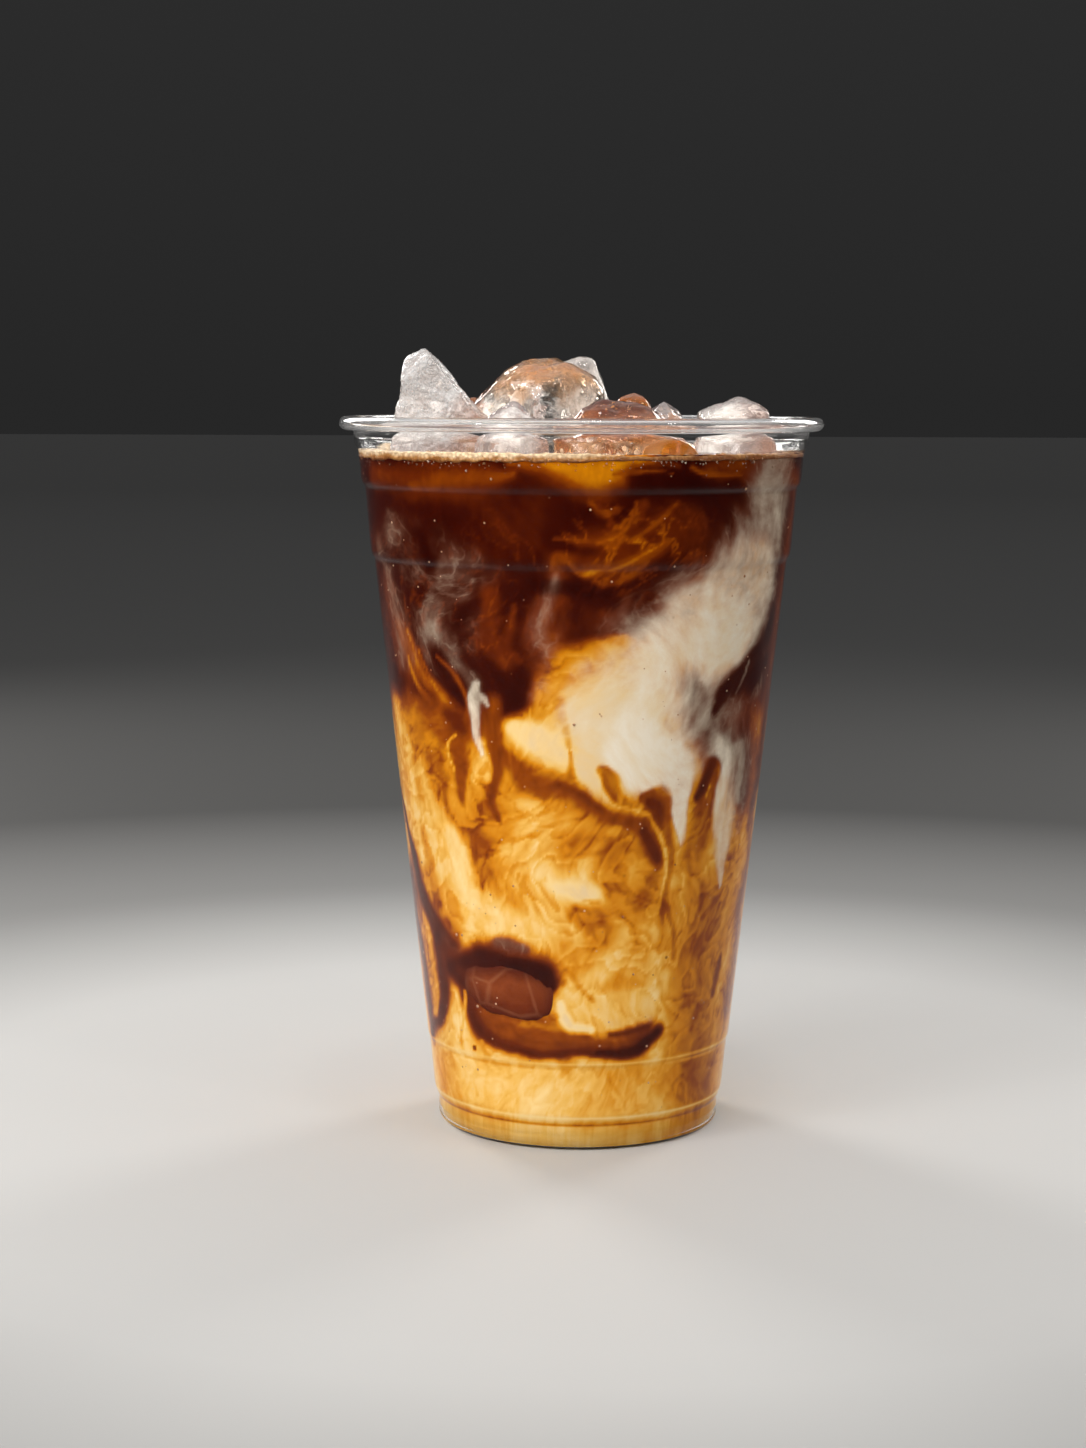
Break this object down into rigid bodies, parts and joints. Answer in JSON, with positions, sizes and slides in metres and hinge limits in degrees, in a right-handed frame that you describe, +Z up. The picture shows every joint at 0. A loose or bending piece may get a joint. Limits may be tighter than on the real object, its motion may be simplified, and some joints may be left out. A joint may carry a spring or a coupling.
{
  "type": "iced cold brew coffee",
  "caption": "Iced cold brew coffee marbled with cream, in a clear tapered plastic cup with a rolled rim, with chunks of ice standing out of the drink.",
  "frame": {"origin": "middle of the cup's foot, on the surface that it stands on", "axes": "+Z up along the cup's axis, -Y towards the viewer, +X to the viewer's right"},
  "size_m": [0.098, 0.098, 0.1586],
  "materials": {
    "clear_plastic": "clear gloss",
    "coffee": "liquid gloss, coffee marbled with cream",
    "clear_ice": "clear to frosted",
    "stained_ice": "clear, tinted by coffee"
  },
  "bodies": {
    "root": {"cup": "clear_plastic", "drink": "coffee", "ice_shard": "clear_ice", "ice_dome": "clear_ice", "ice_front_clear": "clear_ice", "ice_front_brown": "stained_ice", "ice_front_amber": "stained_ice", "ice_small": "clear_ice", "ice_frosted": "clear_ice", "ice_back_tip": "clear_ice", "ice_back_left": "stained_ice", "ice_back_middle": "stained_ice", "ice_back_right": "clear_ice"}
  },
  "joints": []
}
